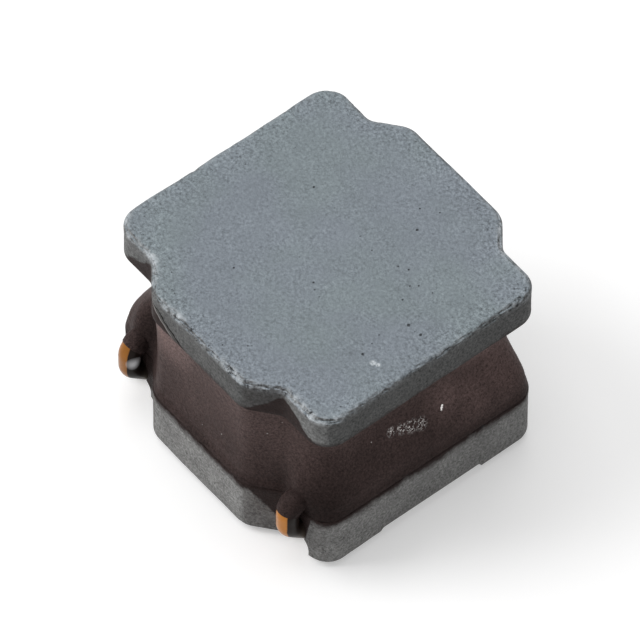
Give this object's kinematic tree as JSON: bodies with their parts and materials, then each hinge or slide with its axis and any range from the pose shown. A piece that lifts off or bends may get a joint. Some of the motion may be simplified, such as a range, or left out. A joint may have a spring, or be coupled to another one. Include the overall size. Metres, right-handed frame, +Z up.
{
  "type": "shielded surface-mount power inductor",
  "caption": "Square wire-wound power inductor with a ferrite drum core, a resin shield between its flanges and two solder pads underneath.",
  "frame": {"origin": "centre of the board side, in the plane of the solder pads", "axes": "+Z up out of the board, +X from the left electrode to the right one, +Y away from the side where both wire ends come down"},
  "size_m": [0.006, 0.006, 0.0045],
  "materials": {
    "ferrite": "matte sintered ferrite",
    "enamelled_copper": "glossy enamel over copper",
    "magnetic_resin": "satin powder-filled epoxy",
    "electrode_film": "fired silver film, satin",
    "solder": "tin solder, satin"
  },
  "bodies": {
    "root": {"drum_core": "ferrite", "winding": "enamelled_copper", "resin_shield": "magnetic_resin", "electrode_left": "electrode_film", "electrode_right": "electrode_film", "solder_left": "solder", "solder_right": "solder"}
  },
  "joints": []
}
